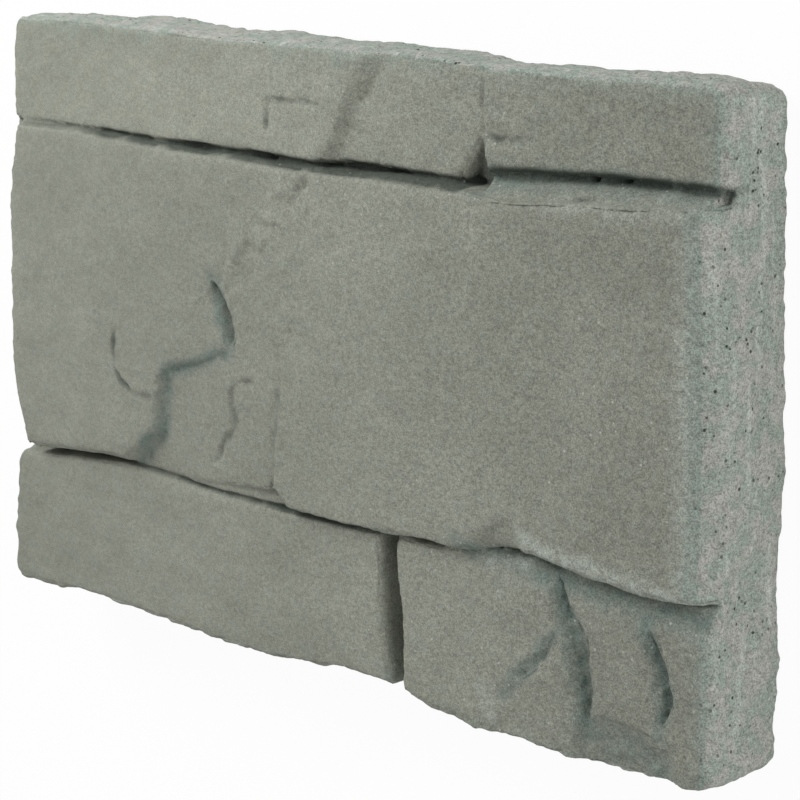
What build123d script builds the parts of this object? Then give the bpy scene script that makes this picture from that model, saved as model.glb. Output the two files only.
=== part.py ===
import os
from math import cos, pi, radians, sin, tan

from build123d import *

# One wet-cast concrete ledger panel, lying on its back with the stone face up.
# X runs along the courses, Y up the courses and Z out of the face, in millimetres.

# Overall size, and the plain backing that the stones stand on
length = 305
height = 203
backing_thickness = 22.5

# How far the stones of each course stand in front of the backing
top_left_projection = 10.5
top_right_projection = 7
middle_projection = 14
bottom_projection = 10

# Bed joints: height of each above the lower edge, and its width at the root of the stones
lower_joint_height = 54.5
lower_joint_width = 1.0
upper_joint_height = 166.4
upper_joint_width = 0.9

# Head joints: distance of each from the left end, and its width at the root of the stones
bottom_head_distance = 181.6
bottom_head_width = 5.6
top_head_distance = 215
top_head_width = 0.6

# Form left by the mould: draft and batter in degrees, rounding in even turns of a quarter circle,
# and how far the upper side falls away towards the back
joint_draft = 2
right_batter = 3
left_batter = 5
root_depth = 2.5
arris_radius = 0.8
arris_turns = 3
back_arris = 1.2
back_fall = 1.8
right_corner_radius = 6
left_corner_radius = 4

# Outer edges of the stones: how far each is rounded in, from the backing to the face
edge_inset = 1
left_end_inset = 2
top_end_inset = 5
middle_end_inset = 7.5
bottom_end_inset = 3

# Margins past the outline, and past a face, for what is cut or trimmed off
trim = 8
clearance = 1

# Wander of each side: how far it strays to the right or upwards, at even steps along it
straight = (0.0, 0.0)
left_end_wander = (-0.4, 1.0, 3.0, 3.4, 6.2)
right_end_wander = (-0.4, -2.0, 0.0, -1.6, -2.4)
lower_edge_wander = (3.0, 5.0, 4.2, 2.2, 6.6, 2.4, 0.2, -1.6)
upper_edge_wander = (-1.6, -0.2, -0.9, 0.0, -1.3, -0.5, 0.0)
top_left_bed = (-0.5, -0.5, 0.2, -0.4, -0.8, -0.4, -0.2, -1.0, 0.4, 0.5, -0.2)
top_right_bed = (2.8, 5.0, 6.8, 7.2, 7.1)
middle_upper_bed = (0.8, 1.1, 1.0, 0.3, 0.0, 0.1, -0.3, 0.1, 0.5, 0.6, -0.6, 1.1, 2.4, 4.2, 5.5)
middle_lower_bed = (-1.4, 0.3, 2.5, 2.0, -0.3, -0.9, -1.1, -0.8, -0.2, 1.2, 1.6, 5.7, 4.3, 2.6, 2.3, 5.7)
middle_left_end = (12.5, 5.6, 3.8, 3.8, 4.4, 6.8, 10.5)
bottom_left_bed = (-2.8, -2.8, -0.3, 1.0, -0.8, -0.8, -0.4, 0.1, 0.7)
bottom_right_bed = (1.7, 2.0, 4.8, 3.9, 1.8, 2.0, 4.5)
top_left_head = (-8.0, -3.0, 0.0, 0.2, 0.1, 0.2, 0.2)
top_right_head = (0.4, 0.1, -0.1)
bottom_left_head = (2.5, 2.8, -0.7, -1.5, -2.5)
bottom_right_head = (1.0, 1.5, 2.0, -0.5, -0.1)

# Floors of the bed joints: share of the length from the left end, and depth below the middle course
upper_joint_floor = ((0, 5.5), (0.1, 6.5), (0.2, 8.5), (0.55, 9.5), (0.68, 13.6), (0.86, 13.6), (1, 12.5))
lower_joint_floor = ((0, 9), (0.04, 11), (0.16, 12), (0.21, 5.4), (0.43, 5.2), (0.46, 10), (0.54, 13.8),
                     (0.79, 13.8), (0.82, 8), (0.92, 8.5), (1, 9.5))
joint_floor_width = 40

# Head joint of the top course: its floor climbs between two heights above the bed joint,
# to a least depth below the face of the right stone
runout_foot = 3
runout_head = 15.5
runout_depth = 0.4
runout_width = 12

# Ledge along the upper side of the middle stone, below the top right stone: place of each end along the
# panel with the heights of the inner and outer line there, depth at the inner line and fall to the outer
ledge_ends = ((218, 163.5, 170.2), (300, 169.5, 174.5))
ledge_depth = 2
ledge_fall = 7.5

# Layers cleft off the stones: edge of each floor, and three points of it with their depths.
# Places are measured from the left end of the panel and from its lower edge.
cleft_flare = 30
worn_flare = 55
middle_cleft = (
    (114, 103.5), (108, 100), (98.5, 96), (91.5, 94), (83.4, 91), (80.7, 82.5), (80.4, 71), (76.3, 65.8),
    (67.7, 58), (62, 47), (129, 45), (131.2, 59), (133.2, 67), (134.7, 81), (135.8, 91), (137, 107),
)
middle_cleft_floor = ((83, 71, 3.6), (133, 60, 1.7), (114, 104, 0.5))
edge_cleft = (
    (84, 55.8), (92.5, 56.4), (113.5, 57.2), (127.5, 58), (133, 58.8), (137, 54), (137, 46), (84, 46),
)
edge_cleft_floor = ((84, 55, 4.5), (137, 54, 4.4), (110, 46, 4.6))
top_cleft = (
    (181, 214), (176, 201.5), (172.5, 195.5), (167, 188), (166.3, 185), (163, 179.5), (159.5, 173),
    (155, 164), (152, 155), (226, 155), (226, 214),
)
top_cleft_floor = ((164, 180, 3.1), (213, 166, 3.5), (213, 205, 3.5))

# Chip out of the lower arris of the middle stone, in the same terms
chip = (
    (220, 46), (220.5, 58), (222.5, 62), (226, 66), (230, 69.5), (232.5, 71.2), (233.5, 67.5), (234, 63),
    (234, 46),
)
chip_floor = ((232.5, 71.2, 0.4), (222, 58, 3.6), (236, 58, 3.8))

# Worn upper edge of the bottom right stone, and a spall at its lower edge, measured from the right end
worn_edge = (
    (83, 60), (82, 56.5), (79, 54), (75, 52.6), (70, 51.5), (55, 49.8), (40, 50), (26, 49), (8, 50),
    (-6, 49.5), (-6, 64), (83, 64),
)
worn_edge_floor = ((70, 50, 0.3), (5, 49, 0.4), (35, 57, 3.4))
spall = ((47, 14.5), (33, 15.5), (24, 14), (18.5, 10), (17, -9), (51, -9))
spall_floor = ((47, 14, 1.2), (24, 13, 1.5), (36, 0, 3.6))

# Cracks: line of each from its upper end, width and depth at the middle, and lean of its root
middle_crack = ((105.5, 126), (108, 120.3), (111, 114.5), (114, 108.5), (115, 102))
middle_crack_width = 6
middle_crack_depth = 4
bottom_crack = ((58.5, 57), (56, 47), (51, 37.5), (48.5, 23), (46, 10))
bottom_crack_width = 11
bottom_crack_depth = 5
branch_crack = ((56.5, 40.5), (59.5, 35), (63, 29.5), (70.5, 23), (77.5, 15.5))
branch_crack_width = 3.2
branch_crack_depth = 1.8
right_crack = ((24, 49), (21.5, 37), (18.5, 27), (19.5, 15))
right_crack_width = 7
right_crack_depth = 4
crack_lean = 0.28
crack_root_share = 0.15

# Lines and levels that the outline and the joints follow, with the box of the panel centred
right_end = (length - min(left_end_wander) - max(right_end_wander)) / 2
left_end = right_end - length
upper_edge = (height - min(lower_edge_wander) - max(upper_edge_wander)) / 2
lower_edge = upper_edge - height
lower_joint = lower_edge + lower_joint_height
upper_joint = lower_edge + upper_joint_height
bottom_head = left_end + bottom_head_distance
top_head = left_end + top_head_distance
root_level = backing_thickness - root_depth
top_left_face = backing_thickness + top_left_projection
top_right_face = backing_thickness + top_right_projection
middle_face = backing_thickness + middle_projection
bottom_face = backing_thickness + bottom_projection
face_limit = max(top_left_face, top_right_face, middle_face, bottom_face)

# Limits past the outline, for what the outline trims
past_left = left_end - trim
past_right = right_end + trim
past_lower = lower_edge - trim
past_upper = upper_edge + trim


def from_left(points):
    """Places measured from the left end and the lower edge."""
    return [(left_end + point[0], lower_edge + point[1], *point[2:]) for point in points]


def from_right(points):
    """Places measured from the right end and the lower edge."""
    return [(right_end - point[0], lower_edge + point[1], *point[2:]) for point in points]


def steps(start, end, count):
    """Even steps from start to end."""
    return [start + (end - start) * i / (count - 1) for i in range(count)]


def quarter_turns():
    """Shares of inset and rise at each turn of a rounded edge, from the wall to the face."""
    angles = steps(0, pi / 2, arris_turns + 1)
    return [(1 - cos(angle), sin(angle)) for angle in angles]


def wandering_face(level, left, right, lower, upper, left_stray, right_stray, lower_stray, upper_stray):
    """Four-sided face at a level, whose sides stray off their lines between the corners."""
    near = [left + stray for stray in left_stray]
    far = [right + stray for stray in right_stray]
    low = [lower + stray for stray in lower_stray]
    high = [upper + stray for stray in upper_stray]
    sides = (
        list(zip(steps(near[0], far[0], len(low)), low)),
        list(zip(far, steps(low[-1], high[-1], len(far)))),
        list(zip(steps(far[-1], near[-1], len(high)), reversed(high))),
        list(zip(reversed(near), steps(high[0], low[0], len(near)))),
    )
    with BuildSketch(Plane.XY.offset(level)) as face:
        with BuildLine():
            for side in sides:
                if len(side) > 2:
                    Spline(*side)
                else:
                    Line(*side)
        make_face()
    return face.sketch


def outline_face(level, left_inset=0, right_inset=0, long_inset=0):
    """Outline of the panel at a level, drawn in at its ends and along both edges."""
    rise = max(0, level - root_level)
    back_inset = back_fall * max(0, root_level - level) / root_level
    with BuildSketch(Plane.XY.offset(level)) as face:
        add(
            wandering_face(
                0,
                left_end + left_inset + rise * tan(radians(left_batter)),
                right_end - right_inset - rise * tan(radians(right_batter)),
                lower_edge + long_inset,
                upper_edge - long_inset - back_inset,
                left_end_wander,
                right_end_wander,
                lower_edge_wander,
                upper_edge_wander,
            )
        )
        fillet(face.vertices().sort_by(Axis.X)[2:], right_corner_radius)
        fillet(face.vertices().sort_by(Axis.X)[:2], left_corner_radius)
    return face.sketch


def stone(face_level, end_inset, left, right, lower, upper, *strays):
    """One stone: drafted walls at its joints, and a worn edge all round its face."""
    spring = face_level - arris_radius
    fall = (spring - root_level) * tan(radians(joint_draft))
    sections = [wandering_face(root_level, left, right, lower, upper, *strays)]
    limits = [outline_face(root_level - clearance, -clearance, -clearance, -clearance)]
    for inset, rise in quarter_turns():
        back = fall + inset * arris_radius
        sections.append(
            wandering_face(
                spring + rise * arris_radius, left + back, right - back, lower + back, upper - back, *strays
            )
        )
        level = backing_thickness + rise * (face_level - backing_thickness)
        reaches = (left_end_inset, end_inset, edge_inset)
        limits.append(outline_face(level, *[inset * (reach + clearance) - clearance for reach in reaches]))
    with BuildPart() as block:
        loft(sections, ruled=True)
        loft(limits, ruled=True, mode=Mode.INTERSECT)
    return block.part


def plane_height(plane, x, y):
    """Level of a sloping plane above a place."""
    offset = Vector(x, y, plane.origin.Z) - plane.origin
    return plane.origin.Z - offset.dot(plane.z_dir) / plane.z_dir.Z


def cleft(edge, floor, face_level, flare):
    """Everything above a sloping floor, inside an edge that flares as it rises."""
    corner, along, across = [Vector(x, y, face_level - depth) for x, y, depth in floor]
    normal = (along - corner).cross(across - corner)
    normal = normal if normal.Z > 0 else -normal
    plane = Plane(corner, x_dir=along - corner, z_dir=normal)
    local = [plane.to_local_coords(Vector(x, y, plane_height(plane, x, y))) for x, y in edge]
    with BuildPart() as removed:
        with BuildSketch(plane):
            with BuildLine():
                Polyline(*[(point.X, point.Y) for point in local], close=True)
            make_face()
        extrude(amount=trim, taper=-flare)
    return removed.part


def joint_floor(joint, depths):
    """Filling at the root of a bed joint, up to the depth that the joint has along its run."""
    floor = [(left_end + share * length, middle_face - depth) for share, depth in depths]
    floor = [(past_left, floor[0][1]), *floor, (past_right, floor[-1][1])]
    with BuildPart() as filling:
        with BuildSketch(Plane.XZ.offset(-joint)):
            with BuildLine():
                Polyline((past_left, root_level), *floor, (past_right, root_level), close=True)
            make_face()
        extrude(amount=joint_floor_width / 2, both=True)
    return filling.part


def ledge_section(distance, inner, outer):
    """Section across the ledge, sloping down from the middle stone into the joint."""
    with BuildSketch(Plane.YZ.offset(left_end + distance)) as face:
        with BuildLine():
            Polyline(
                (lower_edge + inner, root_level),
                (lower_edge + inner, middle_face - ledge_depth),
                (lower_edge + outer, middle_face - ledge_depth - ledge_fall),
                (lower_edge + outer, root_level),
                close=True,
            )
        make_face()
    return face.sketch


def crack_outline(level, line, width, lean):
    """Outline that follows a line, widest in the middle and pointed at both ends."""
    count = len(line)
    near = []
    far = []
    for i in range(1, count - 1):
        run = Vector(line[i + 1]) - Vector(line[i - 1])
        side = Vector(-run.Y, run.X).normalized() * width * sin(pi * i / (count - 1))
        near.append(Vector(line[i]) + side * (0.5 + lean))
        far.append(Vector(line[i]) - side * (0.5 - lean))
    with BuildSketch(Plane.XY.offset(level)) as face:
        with BuildLine():
            Polyline(line[0], *near, line[-1], *reversed(far), close=True)
        make_face()
    return face.sketch


def crack(line, face_level, width, depth, lean):
    """Groove that narrows from its mouth, above the face, to its root."""
    mouth_width = width * (1 + clearance / depth)
    sections = [
        crack_outline(face_level + clearance, line, mouth_width, 0),
        crack_outline(face_level - depth, line, width * crack_root_share, lean / crack_root_share),
    ]
    with BuildPart() as removed:
        loft(sections, ruled=True)
    return removed.part


# Blank with the outline of the panel, eased round its back
blank_sections = [
    outline_face(0, back_arris, back_arris, back_arris),
    outline_face(back_arris),
    outline_face(root_level),
    outline_face(face_limit + trim),
]
with BuildPart() as blank:
    loft(blank_sections, ruled=True)

# Limits that the stones share
top_bed = upper_joint + upper_joint_width / 2
middle_top = upper_joint - upper_joint_width / 2
middle_bed = lower_joint + lower_joint_width / 2
bottom_top = lower_joint - lower_joint_width / 2
top_left_limit = top_head - top_head_width / 2
top_right_limit = top_head + top_head_width / 2
bottom_left_limit = bottom_head - bottom_head_width / 2
bottom_right_limit = bottom_head + bottom_head_width / 2

# Top course: the left stone has lost a layer to the right of its ridge
with BuildPart() as top_left_stone:
    add(stone(top_left_face, top_end_inset, past_left, top_left_limit, top_bed, past_upper,
              straight, top_left_head, top_left_bed, straight))
    add(cleft(from_left(top_cleft), from_left(top_cleft_floor), top_left_face, worn_flare),
        mode=Mode.SUBTRACT)

with BuildPart() as top_right_stone:
    add(stone(top_right_face, top_end_inset, top_right_limit, past_right, top_bed, past_upper,
              top_right_head, straight, top_right_bed, straight))

# Middle course: one long stone with two clefts, a crack above them and a chip out of its lower arris
with BuildPart() as middle_stone:
    add(stone(middle_face, middle_end_inset, left_end, past_right, middle_bed, middle_top,
              middle_left_end, straight, middle_lower_bed, middle_upper_bed))
    for edge, floor, flare in (
        (middle_cleft, middle_cleft_floor, cleft_flare),
        (edge_cleft, edge_cleft_floor, cleft_flare),
        (chip, chip_floor, worn_flare),
    ):
        add(cleft(from_left(edge), from_left(floor), middle_face, flare), mode=Mode.SUBTRACT)
    add(crack(from_left(middle_crack), middle_face, middle_crack_width, middle_crack_depth, crack_lean),
        mode=Mode.SUBTRACT)

# Bottom course: the right stone is cracked, worn along the joint and spalled at the lower edge
with BuildPart() as bottom_left_stone:
    add(stone(bottom_face, bottom_end_inset, past_left, bottom_left_limit, past_lower, bottom_top,
              straight, bottom_left_head, straight, bottom_left_bed))

with BuildPart() as bottom_right_stone:
    add(stone(bottom_face, bottom_end_inset, bottom_right_limit, past_right, past_lower, bottom_top,
              bottom_right_head, straight, straight, bottom_right_bed))
    for edge, floor in ((worn_edge, worn_edge_floor), (spall, spall_floor)):
        add(cleft(from_right(edge), from_right(floor), bottom_face, worn_flare), mode=Mode.SUBTRACT)
    for line, width, depth in (
        (bottom_crack, bottom_crack_width, bottom_crack_depth),
        (branch_crack, branch_crack_width, branch_crack_depth),
        (right_crack, right_crack_width, right_crack_depth),
    ):
        add(crack(from_right(line), bottom_face, width, depth, crack_lean), mode=Mode.SUBTRACT)

# Floor of the top head joint, rising towards the upper edge and worn back there like the stones
runout_top = upper_edge + min(upper_edge_wander)
with BuildPart() as joint_runout:
    with BuildSketch(Plane.YZ.offset(top_head - runout_width / 2)):
        with BuildLine():
            Polyline(
                (upper_joint + runout_foot, root_level),
                (runout_top, root_level),
                (runout_top, backing_thickness),
                (runout_top - edge_inset, top_right_face - runout_depth),
                (upper_joint + runout_head, top_right_face - runout_depth),
                (upper_joint + runout_foot, backing_thickness),
                close=True,
            )
        make_face()
    extrude(amount=runout_width)

with BuildPart() as ledge:
    loft([ledge_section(*end) for end in ledge_ends], ruled=True)

with BuildPart() as ledger_panel:
    # Backing, wider than the stones until the blank trims them together
    with BuildSketch():
        Rectangle(length + 4 * trim, height + 4 * trim)
    extrude(amount=backing_thickness)
    # Five stones in three courses, with the joints left between them
    for piece in (top_left_stone, top_right_stone, middle_stone, bottom_left_stone, bottom_right_stone):
        add(piece.part)
    add(joint_runout.part)
    add(ledge.part)
    add(joint_floor(upper_joint, upper_joint_floor))
    add(joint_floor(lower_joint, lower_joint_floor))
    add(blank.part, mode=Mode.INTERSECT)

ledger_panel.part.label = "ledger_panel"
os.makedirs("parts", exist_ok=True)
export_step(ledger_panel.part, "parts/ledger_panel.step")
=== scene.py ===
from math import radians

import bpy
import numpy as np
from mathutils import Matrix, Vector, noise


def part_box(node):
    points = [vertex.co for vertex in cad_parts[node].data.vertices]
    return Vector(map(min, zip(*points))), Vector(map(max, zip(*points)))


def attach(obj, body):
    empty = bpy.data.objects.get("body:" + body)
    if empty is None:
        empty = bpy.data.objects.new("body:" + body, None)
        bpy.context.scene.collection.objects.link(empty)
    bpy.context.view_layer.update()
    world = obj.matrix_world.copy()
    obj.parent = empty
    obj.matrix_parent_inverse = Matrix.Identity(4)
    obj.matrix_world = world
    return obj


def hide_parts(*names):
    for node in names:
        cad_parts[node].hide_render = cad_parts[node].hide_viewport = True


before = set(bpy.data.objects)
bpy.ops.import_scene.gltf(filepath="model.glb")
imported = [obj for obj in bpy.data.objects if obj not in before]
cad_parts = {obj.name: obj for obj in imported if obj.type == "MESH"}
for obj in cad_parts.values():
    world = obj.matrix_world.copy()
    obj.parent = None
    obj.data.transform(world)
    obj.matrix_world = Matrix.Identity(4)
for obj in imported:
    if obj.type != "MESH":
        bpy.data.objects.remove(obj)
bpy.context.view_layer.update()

NODE = "ledger_panel"
MM = 0.001

# Grid of the dense cast surface, and the triangles left when its plain parts are thinned
VOXEL = 0.6 * MM
TRIANGLES = 185000

# Camera of the photograph: place and turns in the frame of the part, focal length on a 36 mm film
CAMERA_PLACE = (605.4 * MM, 203.1 * MM, 645.5 * MM)
CAMERA_YAW = radians(43.02)
CAMERA_PITCH = radians(-13.78)
CAMERA_LENS = 128.2
FILM = 36.0

# Unevenness of the cast surface in millimetres: size and height of each layer of it
FACE_RELIEF = ((46, 1.0), (17, 0.6), (7, 0.3), (3.2, 0.2), (1.9, 0.14))
SIDE_RELIEF = ((26, 0.9), (12, 0.9), (5, 0.5), (2.6, 0.25))
BACK_RELIEF = ((60, 0.5), (22, 0.35))
CHIPS = ((8, 0.5), (4, 0.5))
WOBBLE = ((9, 3.0), (3.5, 1.4))
BREAKS = ((7, 0.8), (3, 0.5))
ROUGH_RELIEF = ((7, 1.2), (3.4, 0.8), (1.8, 0.4))

# Shares of the relief: chips of the arrises, stray of the lines on the face, and what the joints lose of it
CHIPPED = 1.6
STRAY = 0.7
JOINT_CALM = 0.6

# Joints and cracks: how far they run below their rounded mouths, share of a sharp arris that is worn off,
# and share of a hollow that is filled in broken places
CARVED = 1.1
WORN = 0.75
FILLED = 0.8

# Rounds of evening out that find the hollows, and depths and heights that count as joint and as arris
ROUNDS = 36
JOINT_HOLLOW = (0.25, 1.1)
ARRIS_HOLLOW = (0.15, 0.7)

# Closing of the joints at the right end, and of the upper joint towards the left: distances from the left
# end, share at the left, height above which a joint is the upper one, rise of its floor, and fading of its
# darkening, which is damp colour with painted shade
RIGHT_CLOSING = (297, 307)
LEFT_CLOSING = (75, 5)
LEFT_SHARE = 0.5
UPPER_PART = 120
CLOSED_RISE = 2.2
CLOSED_FADE = 1.4

# Left end and lower edge of the panel, from which the lines on its face are measured
CORNER = (-152.3, -100.7)

# Lines of the bed joints, where they run on below their mouths: points, width, depth and darkness; the
# darkening is damp colour with painted shade, and a painted shadow under the lower edge of the top right stone
JOINTS = (
    (((-8.0, 166.5), (14.0, 166.5), (36.0, 167.0), (58.0, 166.7)), 2.6, 1.3, 0.6),
    (((52.0, 166.8), (80.0, 166.2), (102.0, 166.2), (124.0, 166.3)), 3.8, 2.2, 0.9),
    (((120.0, 166.3), (147.0, 165.8), (169.0, 166.6), (191.0, 166.9), (210.0, 166.6)), 4.6, 2.6, 0.95),
    (((217.0, 170.6), (239.0, 172.2), (264.0, 173.7), (288.0, 174.3), (302.0, 174.4)), 5.4, 2.2, 0.95),
    (((39.0, 54.8), (62.0, 56.1), (85.4, 54.5), (108.7, 53.8), (132.0, 53.8)), 2.4, 1.5, 0.75),
    (((132.0, 53.8), (155.4, 54.2), (178.0, 54.8)), 3.2, 2.0, 0.9),
)

# Fine cracks in the stone faces: points, width, depth and how far they are darkened, by damp colour and
# by painted shade in the crevice
CRACKS = (
    (((59.4, 100.9), (59.7, 94.9), (60.9, 87.6), (64.3, 83.7), (69.7, 82.2), (77.0, 81.4)),
     3.2, 0.6, 0.55),
    (((123.3, 93.6), (116.8, 91.0), (115.4, 86.8), (115.7, 80.2), (112.8, 74.8), (104.6, 64.3)),
     4.0, 0.5, 0.3),
    (((137.0, 107.0), (135.8, 91.0), (134.7, 81.0), (133.2, 67.0), (131.2, 59.0)), 3.6, 0.4, 0.25),
    (((127.6, 174.7), (129.5, 179.6), (130.9, 184.4), (144.4, 184.4), (152.1, 185.4)), 3.2, 0.8, 0.55),
    (((217.3, 181.3), (222.3, 180.9), (229.9, 181.1)), 3.4, 0.8, 0.5),
    (((220.5, 163.8), (235.7, 165.2), (250.5, 167.3), (272.0, 168.1), (296.2, 170.5)), 2.2, 0.6, 0.55),
    (((181.0, 204.0), (172.5, 195.5), (166.5, 187.0), (163.0, 179.5), (159.5, 173.0)), 5.0, 0.3, 0.1),
    (((147.0, 164.0), (146.0, 158.0)), 3.0, 0.8, 0.6),
    (((214.8, 206.0), (214.9, 191.8), (215.0, 181.7)), 2.6, 0.35, 0.2),
)

# Broken places of the face, rough and softened: points, reach and share
ROUGH = (
    (((149.0, 162.0), (136.0, 147.0), (122.0, 134.0), (108.0, 123.0)), 13.0, 1.0),
    (((142.0, 150.0), (141.0, 112.0), (139.0, 72.0)), 14.0, 0.4),
    (((181.0, 204.0), (166.5, 187.0), (159.5, 173.0)), 10.0, 0.7),
    (((246.5, 57.0), (254.0, 37.5), (257.0, 14.0)), 10.0, 1.0),
    (((248.5, 40.5), (242.0, 29.5), (227.5, 15.5)), 6.0, 0.7),
    (((281.0, 49.0), (286.5, 27.0), (285.5, 12.0)), 10.0, 1.0),
    (((256.0, 8.0), (284.0, 4.0)), 11.0, 0.9),
    (((196.0, 2.0), (250.0, 2.0)), 9.0, 0.9),
    (((83.4, 91.0), (80.5, 71.0), (67.7, 58.0)), 6.0, 0.6),
    (((105.5, 126.0), (111.0, 114.5), (114.5, 103.0)), 8.0, 0.6),
    (((224.0, 186.0), (244.0, 203.0)), 13.0, 0.6),
    (((181.6, 2.0), (181.6, 54.0)), 6.0, 0.35),
    (((214.0, 170.0), (214.0, 186.0)), 6.0, 0.4),
)

# Low steps where a thin layer has come away to the right of a line: points, drop and run-out
LAYERS = (
    (((147.6, 162.4), (138.8, 153.0), (130.7, 145.7), (123.0, 140.0), (115.2, 131.9), (107.6, 123.8)),
     0.4, 22),
)

# Damp green stains along the cracks, the recess, the ledge and the worn edges: points, reach and strength
STAINS = (
    (((246.5, 57.0), (249.0, 47.0), (254.0, 37.5), (256.5, 23.0), (259.0, 10.0)), 6.5, 0.85),
    (((248.5, 40.5), (245.5, 35.0), (242.0, 29.5), (234.5, 23.0), (227.5, 15.5)), 3.5, 0.7),
    (((281.0, 49.0), (283.5, 37.0), (286.5, 27.0), (285.5, 15.0)), 5.0, 0.9),
    (((256.0, 12.0), (265.0, 9.0), (277.0, 8.0), (284.0, 3.0)), 9.0, 0.5),
    (((214.0, 58.0), (225.0, 57.0), (240.0, 55.0), (260.0, 53.0), (280.0, 53.0), (300.0, 52.0)), 6.5, 0.8),
    (((105.5, 126.0), (111.0, 114.5), (114.5, 103.0), (98.5, 96.0), (83.4, 91.0), (80.5, 71.0),
      (67.7, 58.0)), 4.0, 0.8),
    (((214.0, 169.0), (240.0, 171.0), (270.0, 173.0), (300.0, 174.0)), 5.5, 0.7),
    (((181.6, 2.0), (181.6, 54.0)), 5.5, 0.4),
)

# Pale edges, partly worn and partly a painted highlight, most of all along the middle stone's lower arris,
# which faces down: points, reach and strength
PALE_WEAR_AND_HIGHLIGHT_LINES = (
    (((238.0, 64.5), (255.0, 62.0), (275.0, 59.5), (298.0, 58.5)), 6.0, 0.9),
    (((222.0, 55.0), (236.0, 57.0)), 4.0, 0.7),
    (((214.0, 203.0), (260.0, 203.0)), 3.0, 0.6),
    (((297.0, 66.0), (296.0, 110.0), (297.0, 160.0)), 7.0, 0.6),
    (((220.8, 14.0), (222.0, 7.0)), 5.0, 0.8),
    (((302.6, 72.6), (302.5, 63.3)), 3.0, 0.9),
    (((246.0, 165.5), (268.0, 166.5), (294.0, 168.5)), 5.0, 0.3),
)

# Places of the outline that are worn back or stand out: centre, reach and shift
OUTLINE_WEAR = (
    ((300, 0), 24, (0.0, 2.6)),
    ((305, 25), 40, (1.8, 0.0)),
    ((2, 55), 6, (5.0, 0.0)),
    ((0, 12), 18, (-1.8, 0.0)),
    ((0, 140), 55, (0.9, 0.0)),
    ((0, 166), 6, (1.5, 0.0)),
    ((195, 0), 24, (0.0, -1.8)),
    ((70, 0), 45, (0.0, -1.0)),
    ((245, 0), 20, (0.0, -0.9)),
    ((305, 78), 30, (0.8, 0.0)),
)

# Noise of the stone's colour: size in millimetres, detail and roughness
STONE_NOISE = {
    "cloud": (60, 3.0, 0.55),
    "blotch": (14, 4.0, 0.6),
    "veil": (8, 4.0, 0.65),
    "patch": (4.5, 3.0, 0.6),
    "mottle": (1.5, 2.0, 0.6),
    "grain": (0.5, 2.0, 0.6),
}
STREAK_NOISE = (4.0, 2.0, 0.5)
STREAK_STRETCH = (1.0, 0.12, 1.0)

# Colours of the stone, with the painted shade in the joints and the painted highlight on pale edges
CLOUD_DARK = (0.238, 0.246, 0.204, 1)
CLOUD_PALE = (0.284, 0.292, 0.246, 1)
BLOTCH_DARK = (0.215, 0.221, 0.184, 1)
PATCH_GREEN = (0.243, 0.268, 0.232, 1)
RIM_GREEN = (0.238, 0.28, 0.248, 1)
STAIN_GREEN = (0.142, 0.186, 0.168, 1)
# Pale of the worn edges, also a painted highlight on arrises that face away from the lamps
PALE_WEAR_AND_HIGHLIGHT = (0.378, 0.41, 0.366, 1)
END_GREY = (0.345, 0.346, 0.315, 1)
END_GREEN = (0.275, 0.314, 0.272, 1)
END_STREAK = (0.44, 0.475, 0.435, 1)
TURN_GREEN = (0.228, 0.274, 0.242, 1)
# Near-black green of damp joints, also used as painted shade in the joints and cracks
JOINT_DARK_AND_SHADE = (0.045, 0.056, 0.047, 1)
PORE_DARK = (0.04, 0.045, 0.038, 1)
SPECK_PALE = (0.5, 0.51, 0.46, 1)

# Air pores of the sides and of the rim, and pale specks: spacing and radius in millimetres
SIDE_PORES = (2.6, 0.62)
RIM_PORES = (6.5, 0.7)
SPECKS = (4.2, 0.5)

# Soft boxes: name, place, side in metres and power in watts
LAMPS = (
    ("key", (-0.5, 0.62, 0.56), 0.5, 6.6),
    ("fill", (1.4, 0.1, 0.35), 0.8, 7.5),
)

# Floor: side in metres, how far it lies below the part and share of plain white where it is seen
FLOOR_SIDE = 8
FLOOR_DROP = 0.2 * MM
FLOOR_WHITE = 0.95

# Strength of the white surroundings as light, and where they are seen
SURROUND_LIGHT = 0.5
SURROUND_WHITE = 1.0


def smooth_step(low, high, values):
    """Rise from 0 to 1 between two values."""
    share = np.clip((values - low) / (high - low), 0, 1)
    return share * share * (3 - 2 * share)


def unevenness(points, layers, seed):
    """Sum of smooth noise layers at each point, in metres."""
    total = np.zeros(len(points))
    for number, (size, rise) in enumerate(layers):
        scaled = points / (size * MM) + (seed, 7.3 * number, 2.9 * seed)
        total += rise * MM * np.array([noise.noise(point) for point in scaled.tolist()])
    return total


def distance_to_line(points, line):
    """Distance in the plane of the face to a line of straight runs, and the side on which a point lies."""
    nearest = np.full(len(points), np.inf)
    side = np.zeros(len(points))
    for start, end in zip(line[:-1], line[1:]):
        start = (np.array(start) + CORNER) * MM
        run = (np.array(end) + CORNER) * MM - start
        offset = points - start
        along = np.clip(offset @ run / (run @ run), 0, 1)
        distance = np.linalg.norm(offset - along[:, None] * run, axis=1)
        side = np.where(distance < nearest, np.sign(run[0] * offset[:, 1] - run[1] * offset[:, 0]), side)
        nearest = np.minimum(nearest, distance)
    return nearest, side


def nearness(points, lines):
    """How near each point is to the nearest of some lines, as a share of their reach and strength."""
    nearest = np.zeros(len(points))
    for line, reach, strength in lines:
        away, _ = distance_to_line(points, line)
        nearest = np.maximum(nearest, strength * smooth_step(reach * MM, 0, away))
    return nearest


def bake_modifiers(piece):
    """Replace a piece's mesh by what its modifiers make of it."""
    result = piece.evaluated_get(bpy.context.evaluated_depsgraph_get())
    mesh = bpy.data.meshes.new_from_object(result)
    piece.modifiers.clear()
    piece.data = mesh


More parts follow.
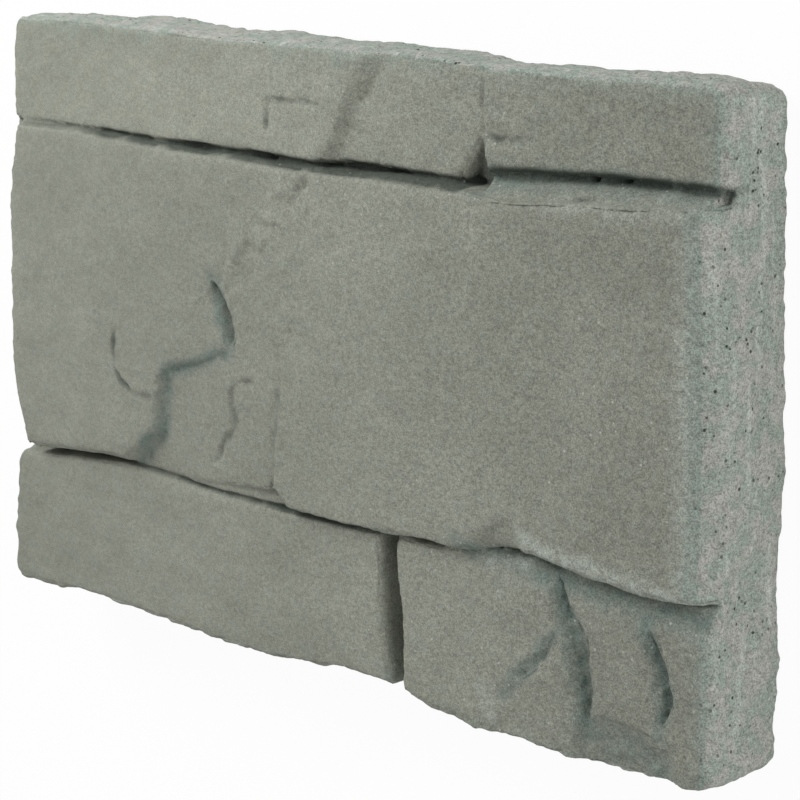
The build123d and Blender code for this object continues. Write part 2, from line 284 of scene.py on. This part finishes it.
def dense_copy(node):
    """Copy of a node's mesh, remeshed to an even grid."""
    piece = bpy.data.objects.new("cast_panel", node.data.copy())
    bpy.context.collection.objects.link(piece)
    grid = piece.modifiers.new("grid", "REMESH")
    grid.mode = "VOXEL"
    grid.voxel_size = VOXEL
    bake_modifiers(piece)
    return piece


def thin_out(piece):
    """Thin a piece's mesh where it is plain, and shade it smooth."""
    piece.data.calc_loop_triangles()
    thin = piece.modifiers.new("thin", "DECIMATE")
    thin.ratio = TRIANGLES / len(piece.data.loop_triangles)
    bake_modifiers(piece)
    piece.data.shade_smooth()


def mesh_arrays(mesh):
    """Places, normals and edges of a mesh."""
    places = np.empty(len(mesh.vertices) * 3)
    mesh.vertices.foreach_get("co", places)
    normals = np.empty(len(mesh.vertices) * 3)
    mesh.vertices.foreach_get("normal", normals)
    edges = np.empty(len(mesh.edges) * 2, dtype=np.int64)
    mesh.edges.foreach_get("vertices", edges)
    return places.reshape(-1, 3), normals.reshape(-1, 3), edges.reshape(-1, 2)


def evened(values, edges, rounds):
    """Values of the vertices, each spread to its neighbours round by round."""
    ends = np.concatenate([edges[:, 0], edges[:, 1]])
    others = np.concatenate([edges[:, 1], edges[:, 0]])
    counts = np.maximum(np.bincount(ends, minlength=len(values)), 1)
    for _ in range(rounds):
        values = 0.5 * values + 0.5 * np.bincount(ends, values[others], len(values)) / counts
    return values


def hollowness(places, normals, edges, rounds):
    """How far each vertex lies below (+) or above (-) the evened-out surface, in metres."""
    return sum((evened(places[:, axis], edges, rounds) - places[:, axis]) * normals[:, axis]
               for axis in range(3))


def write_attribute(mesh, name, values):
    """Store one number for each vertex, for the material to read."""
    attribute = mesh.attributes.new(name, "FLOAT", "POINT")
    attribute.data.foreach_set("value", values.astype(np.float32))


def outer_sides(places, normals, low, high):
    """How far each vertex belongs to the outer sides, and to the right end and upper side alone."""
    reach = 14 * MM
    right = smooth_step(0.25, 0.7, normals[:, 0]) * (places[:, 0] > high[0] - reach)
    left = smooth_step(0.25, 0.7, -normals[:, 0]) * (places[:, 0] < low[0] + reach)
    upper = smooth_step(0.25, 0.7, normals[:, 1]) * (places[:, 1] > high[1] - reach)
    lower = smooth_step(0.25, 0.7, -normals[:, 1]) * (places[:, 1] < low[1] + reach)
    return np.maximum.reduce([right, left, upper, lower]), np.maximum(right, upper)


def closed_share(places):
    """How far the joints are closed at the right end, and the upper joint towards the left."""
    from_left, from_below = (places[:, :2] / MM - CORNER).T
    at_left = LEFT_SHARE * smooth_step(*LEFT_CLOSING, from_left) * (from_below > UPPER_PART)
    return np.maximum(smooth_step(*RIGHT_CLOSING, from_left), at_left)


def rim_distance(places, low, high):
    """Distance from the right end, or a little more from the other outer edges, in millimetres."""
    rim = np.minimum(high[0] - places[:, 0], places[:, 0] - low[0] + 8 * MM)
    return np.minimum(rim, np.minimum(places[:, 1] - low[1], high[1] - places[:, 1]) + 5 * MM) / MM


def wear_outline(moved, places):
    """Shift the worn and the outstanding places of the outline."""
    for centre, reach, shift in OUTLINE_WEAR:
        away = np.linalg.norm(places[:, :2] - (np.array(centre) + CORNER) * MM, axis=1)
        moved[:, :2] += np.exp(-((away / (reach * MM)) ** 2))[:, None] * np.array(shift) * MM


def cast_panel(node):
    """The panel with its cast relief, worn edges and fine cracks."""
    piece = dense_copy(node)
    mesh = piece.data
    places, normals, edges = mesh_arrays(mesh)
    low, high = [np.array(corner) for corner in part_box(NODE)]
    front = smooth_step(0.35, 0.75, normals[:, 2])
    back = smooth_step(0.5, 0.9, -normals[:, 2])
    sides, bare = outer_sides(places, normals, low, high)
    hollow = hollowness(places, normals, edges, ROUNDS)
    raised = places[:, 2] > 0.5 * high[2]
    joint = smooth_step(JOINT_HOLLOW[0] * MM, JOINT_HOLLOW[1] * MM, hollow) * raised
    arris = smooth_step(ARRIS_HOLLOW[0] * MM, ARRIS_HOLLOW[1] * MM, -hollow)
    closed = closed_share(places)
    wobble = np.column_stack([unevenness(places, WOBBLE, seed) for seed in (2.3, 6.1)])
    line_places = places[:, :2] + STRAY * wobble
    broken = np.clip(1 + unevenness(places, BREAKS, 8.2) / MM, 0.3, 1.5)
    rough = nearness(line_places, ROUGH)

    lift = unevenness(places, FACE_RELIEF, 1.7) * (1 - back) * (1 - JOINT_CALM * joint)
    lift += unevenness(places, SIDE_RELIEF, 5.1) * sides
    lift -= np.abs(unevenness(places, CHIPS, 3.3)) * CHIPPED * arris
    lift += WORN * np.minimum(hollow, 0) * raised
    lift += unevenness(places, ROUGH_RELIEF, 4.4) * rough * front
    lift += FILLED * np.maximum(hollow, 0) * rough * raised
    sunk = (CARVED * (1 - rough) - CLOSED_RISE * closed) * joint
    # Darkening of the hollows, joints and cracks: damp colour with painted shade, faded where the joints close
    dark_and_painted_shade = np.maximum(1 - CLOSED_FADE * closed, 0) * joint
    for line, width, depth, darkness_and_shade in JOINTS:
        away, _ = distance_to_line(places[:, :2], line)
        open_share = smooth_step(0.5 * width * MM, 0, away) * raised * np.minimum(broken, 1) * (1 - closed)
        sunk = np.maximum(sunk, depth * open_share)
        dark_and_painted_shade = np.maximum(dark_and_painted_shade, darkness_and_shade * open_share)
    for line, width, depth, darkness_and_shade in CRACKS:
        away, _ = distance_to_line(line_places, line)
        open_share = smooth_step(0.5 * width * MM, 0, away) * front * broken
        lift -= depth * MM * open_share
        dark_and_painted_shade = np.maximum(dark_and_painted_shade, darkness_and_shade * open_share)
    for line, drop, run_out in LAYERS:
        away, beyond = distance_to_line(line_places, line)
        fall = smooth_step(0, 3 * MM, away) * smooth_step(run_out * MM, 0, away)
        lift -= drop * MM * fall * (beyond > 0) * front

    moved = places + normals * lift[:, None]
    wear_outline(moved, places)
    moved[:, 2] += np.abs(unevenness(places, BACK_RELIEF, 9.4)) * back
    moved[:, 2] = np.maximum(moved[:, 2] - sunk * MM, low[2])
    mesh.vertices.foreach_set("co", moved.ravel())
    mesh.update()

    # The joint darkening, damp colour with painted shade, softened over the neighbours
    write_attribute(mesh, "joint", evened(dark_and_painted_shade, edges, 10))
    write_attribute(mesh, "stain", nearness(line_places, STAINS) * raised)
    # Pale edges: worn colour and a painted highlight on shaded arrises
    write_attribute(mesh, "pale_wear_and_highlight", nearness(line_places, PALE_WEAR_AND_HIGHLIGHT_LINES) * raised)
    write_attribute(mesh, "rim", rim_distance(places, low, high))
    write_attribute(mesh, "bare", bare)
    thin_out(piece)
    return piece


def add_node(tree, kind, settings=None, **inputs):
    """A shader node with its settings and inputs; an input is a value or another node's output."""
    node = tree.nodes.new(kind)
    for name, value in (settings or {}).items():
        setattr(node, name, value)
    for name, value in inputs.items():
        socket = node.inputs[int(name[1:])] if name[1:].isdigit() else node.inputs[name.replace("_", " ")]
        if isinstance(value, bpy.types.NodeSocket):
            tree.links.new(value, socket)
        else:
            socket.default_value = value
    return node


def noise_texture(tree, place, size, detail, roughness):
    """Noise whose features are about a size in millimetres."""
    texture = add_node(tree, "ShaderNodeTexNoise", Vector=place, Scale=1 / (size * MM), Detail=detail,
                       Roughness=roughness)
    return texture.outputs["Fac"]


def map_range(tree, value, low, high, to_low=0.0, to_high=1.0):
    """Smooth change from one value to another over a range."""
    node = add_node(tree, "ShaderNodeMapRange", {"interpolation_type": "SMOOTHSTEP"}, Value=value,
                    From_Min=low, From_Max=high, To_Min=to_low, To_Max=to_high)
    return node.outputs["Result"]


def calculate(tree, operation, first, second):
    """One sum on two values."""
    return add_node(tree, "ShaderNodeMath", {"operation": operation}, _0=first, _1=second).outputs[0]


def mix_colour(tree, share, first, second, blend="MIX"):
    """Mix of two colours."""
    node = add_node(tree, "ShaderNodeMix", {"data_type": "RGBA", "blend_type": blend},
                    _0=share, _6=first, _7=second)
    return node.outputs[2]


def grey(tree, value):
    """A grey of a value."""
    return add_node(tree, "ShaderNodeCombineColor", Red=value, Green=value, Blue=value).outputs["Color"]


def attribute(tree, name):
    """A number stored on the vertices."""
    return add_node(tree, "ShaderNodeAttribute", {"attribute_name": name}).outputs["Fac"]


def dots(tree, place, spacing, radius):
    """Round dots, one in each cell of a spacing, both in millimetres."""
    cells = add_node(tree, "ShaderNodeTexVoronoi", Vector=place, Scale=1 / (spacing * MM))
    return map_range(tree, cells.outputs["Distance"], 0.5 * radius / spacing, radius / spacing, 1.0, 0.0)


def face_colour(tree, noises, along, up):
    """Grey of the stone faces, cloudy and blotched, with painted light falloff: paler at the upper left and
    darker to the right.
    """
    base = mix_colour(tree, map_range(tree, noises["cloud"], 0.3, 0.7), CLOUD_DARK, CLOUD_PALE)
    base = mix_colour(tree, map_range(tree, noises["blotch"], 0.3, 0.7, 0.0, 0.4), base, BLOTCH_DARK)
    base = mix_colour(tree, map_range(tree, noises["patch"], 0.4, 0.68, 0.0, 0.3), base, PATCH_GREEN)
    # Painted light falloff from the upper left: the top left stone paler, the faces darker to the right
    painted_light_upper_left = calculate(tree, "MULTIPLY", map_range(tree, up, 0.06, 0.072),
                         map_range(tree, along, -0.05, 0.04, 0.13, 0.0))
    painted_light_falloff = calculate(tree, "MULTIPLY", map_range(tree, along, -0.15, -0.02, 1.0, 1.035),
                     map_range(tree, along, 0.03, 0.13, 1.0, 0.88))
    painted_light_falloff = calculate(tree, "ADD", painted_light_falloff, painted_light_upper_left)
    return mix_colour(tree, 1.0, base, grey(tree, painted_light_falloff), "MULTIPLY")


def damp_rim(tree, blotch):
    """Share of the damp rim along the outer edges."""
    distance = calculate(tree, "ADD", attribute(tree, "rim"), calculate(tree, "MULTIPLY", blotch, 24.0))
    return map_range(tree, distance, 9.0, 26.0, 1.0, 0.0)


def weathered(tree, base, rim, patch):
    """A colour with its damp rim, green stains and pale edges of wear and painted highlight, each broken up
    into patches.
    """
    damp = calculate(tree, "MULTIPLY", rim, map_range(tree, patch, 0.25, 0.6, 0.4, 0.95))
    base = mix_colour(tree, damp, base, RIM_GREEN)
    stain = map_range(tree, patch, 0.3, 0.62, 0.55, 1.0)
    stain = calculate(tree, "MULTIPLY", attribute(tree, "stain"), stain)
    base = mix_colour(tree, stain, base, STAIN_GREEN)
    # Pale edges: worn colour and a painted highlight on shaded arrises
    pale_wear_and_highlight = map_range(tree, patch, 0.35, 0.6, 0.3, 1.0)
    pale_wear_and_highlight = calculate(tree, "MULTIPLY", attribute(tree, "pale_wear_and_highlight"), pale_wear_and_highlight)
    return mix_colour(tree, pale_wear_and_highlight, base, PALE_WEAR_AND_HIGHLIGHT)


def end_colour(tree, place, veil):
    """Pale mottled colour of the bare end and upper side, with drawn streaks."""
    drawn = add_node(tree, "ShaderNodeVectorMath", {"operation": "MULTIPLY"}, _0=place, _1=STREAK_STRETCH)
    streak = noise_texture(tree, drawn.outputs["Vector"], *STREAK_NOISE)
    pale = mix_colour(tree, map_range(tree, veil, 0.42, 0.56), END_GREY, END_GREEN)
    return mix_colour(tree, map_range(tree, streak, 0.52, 0.7, 0.0, 0.5), pale, END_STREAK)


def turned_edge(tree, bare, patch):
    """Share of the rounded edge between the face and the bare sides."""
    turn = calculate(tree, "MULTIPLY", bare, calculate(tree, "SUBTRACT", 1.0, bare))
    return calculate(tree, "MULTIPLY", turn, map_range(tree, patch, 0.3, 0.6, 1.6, 3.4))


def grain_shade(tree, noises, coarseness):
    """Brightness of the sandy grain, about 1."""
    grain = calculate(tree, "MULTIPLY", map_range(tree, noises["grain"], 0.32, 0.68, -0.5, 0.5), 0.54)
    mottle = calculate(tree, "MULTIPLY", map_range(tree, noises["mottle"], 0.25, 0.75, -0.5, 0.5), 0.34)
    speckle = calculate(tree, "ADD", grain, mottle)
    return calculate(tree, "ADD", calculate(tree, "MULTIPLY", speckle, coarseness), 1.0)


def air_pores(tree, place, bare, rim, blotch):
    """Air pores, crowded on the bare sides and scattered along the rim."""
    crowded = calculate(tree, "MULTIPLY", map_range(tree, blotch, 0.47, 0.6), bare)
    on_sides = calculate(tree, "MULTIPLY", dots(tree, place, *SIDE_PORES), crowded)
    on_rim = calculate(tree, "MULTIPLY", dots(tree, place, *RIM_PORES), rim)
    return calculate(tree, "MAXIMUM", on_sides, on_rim)


def stone_material():
    """Grey cast concrete: sandy grain, damp green rims, joints darkened by damp and by painted shade, pale
    mottled end, pores and specks, with painted light falloff on the faces and painted highlight on pale edges.
    """
    material = bpy.data.materials.new("cast_stone")
    material.use_nodes = True
    tree = material.node_tree
    tree.nodes.clear()
    place = add_node(tree, "ShaderNodeTexCoord").outputs["Object"]
    axes = add_node(tree, "ShaderNodeSeparateXYZ", Vector=place)
    along, up = axes.outputs["X"], axes.outputs["Y"]
    noises = {name: noise_texture(tree, place, *values) for name, values in STONE_NOISE.items()}
    patch, blotch = noises["patch"], noises["blotch"]
    bare = attribute(tree, "bare")
    rim = damp_rim(tree, blotch)

    base = weathered(tree, face_colour(tree, noises, along, up), rim, patch)
    base = mix_colour(tree, bare, base, end_colour(tree, place, noises["veil"]))
    base = mix_colour(tree, turned_edge(tree, bare, patch), base, TURN_GREEN)
    # Joint and crack darkening: damp colour with painted shade
    joint = map_range(tree, attribute(tree, "joint"), 0.03, 0.55, 0.0, 0.85)
    base = mix_colour(tree, joint, base, JOINT_DARK_AND_SHADE)

    coarseness = calculate(tree, "ADD", map_range(tree, along, -0.16, 0.16, 0.45, 1.05),
                           calculate(tree, "MULTIPLY", bare, 0.12))
    colour = mix_colour(tree, 1.0, base, grey(tree, grain_shade(tree, noises, coarseness)), "MULTIPLY")
    pore = air_pores(tree, place, bare, rim, blotch)
    colour = mix_colour(tree, pore, colour, PORE_DARK)
    speck = map_range(tree, noises["cloud"], 0.48, 0.6, 0.0, 0.75)
    speck = calculate(tree, "MULTIPLY", dots(tree, place, *SPECKS), speck)
    colour = mix_colour(tree, calculate(tree, "MULTIPLY", speck, coarseness), colour, SPECK_PALE)

    height = calculate(tree, "ADD", calculate(tree, "ADD", noises["grain"], noises["mottle"]), patch)
    height = calculate(tree, "SUBTRACT", height, pore)
    bump = add_node(tree, "ShaderNodeBump", Height=height, Strength=coarseness, Distance=0.2 * MM)
    shader = add_node(tree, "ShaderNodeBsdfPrincipled", Base_Color=colour, Roughness=0.92,
                      Normal=bump.outputs["Normal"])
    shader.inputs["Specular IOR Level"].default_value = 0.25
    output = tree.nodes.new("ShaderNodeOutputMaterial")
    tree.links.new(shader.outputs["BSDF"], output.inputs["Surface"])
    return material


def seen_directly(tree):
    """1 for rays that show a background: from the camera, a reflection or a clear body."""
    path = add_node(tree, "ShaderNodeLightPath")
    mirrored = calculate(tree, "MAXIMUM", path.outputs["Is Glossy Ray"],
                         path.outputs["Is Transmission Ray"])
    return calculate(tree, "MAXIMUM", path.outputs["Is Camera Ray"], mirrored)


def pale_floor():
    """A plain white floor that keeps a light shadow of the part."""
    bpy.ops.mesh.primitive_plane_add(size=FLOOR_SIDE, location=(0, 0, -FLOOR_DROP))
    floor = bpy.context.object
    floor.name = "floor"
    material = bpy.data.materials.new("floor_white")
    material.use_nodes = True
    tree = material.node_tree
    tree.nodes.clear()
    lit = add_node(tree, "ShaderNodeBsdfDiffuse", Color=(0.86, 0.86, 0.86, 1)).outputs["BSDF"]
    white = add_node(tree, "ShaderNodeEmission", Color=(1, 1, 1, 1), Strength=1.0).outputs["Emission"]
    share = calculate(tree, "MULTIPLY", seen_directly(tree), FLOOR_WHITE)
    mixed = add_node(tree, "ShaderNodeMixShader", _0=share, _1=lit, _2=white)
    output = tree.nodes.new("ShaderNodeOutputMaterial")
    tree.links.new(mixed.outputs["Shader"], output.inputs["Surface"])
    floor.data.materials.append(material)


def studio_world():
    """Even white surroundings, plain white where they are seen."""
    world = bpy.data.worlds.new("studio")
    bpy.context.scene.world = world
    world.use_nodes = True
    tree = world.node_tree
    tree.nodes.clear()
    strength = map_range(tree, seen_directly(tree), 0.0, 1.0, SURROUND_LIGHT, SURROUND_WHITE)
    background = add_node(tree, "ShaderNodeBackground", Color=(1, 1, 1, 1), Strength=strength)
    output = tree.nodes.new("ShaderNodeOutputWorld")
    tree.links.new(background.outputs["Background"], output.inputs["Surface"])


def soft_lamp(name, place, size, power):
    """Square soft box that faces the part."""
    lamp = bpy.data.lights.new(name, "AREA")
    lamp.size = size
    lamp.energy = power
    holder = bpy.data.objects.new(name, lamp)
    holder.location = place
    holder.rotation_euler = (-Vector(place)).to_track_quat("-Z", "Y").to_euler()
    bpy.context.collection.objects.link(holder)


def photo_camera():
    """Camera at the photograph's place, looking down on the part."""
    lens = bpy.data.cameras.new("camera")
    lens.sensor_width = FILM
    lens.lens = CAMERA_LENS
    lens.clip_start = 0.01
    camera = bpy.data.objects.new("camera", lens)
    turn = Matrix.Rotation(CAMERA_YAW, 4, "Y") @ Matrix.Rotation(CAMERA_PITCH, 4, "X")
    camera.matrix_world = Matrix.Translation(CAMERA_PLACE) @ turn
    bpy.context.collection.objects.link(camera)
    bpy.context.scene.camera = camera


photo_camera()
studio_world()
pale_floor()
for lamp in LAMPS:
    soft_lamp(*lamp)

panel = cast_panel(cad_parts[NODE])
panel.data.materials.clear()
panel.data.materials.append(stone_material())
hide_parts(NODE)
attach(panel, "root")

bpy.context.scene.view_settings.view_transform = "Standard"
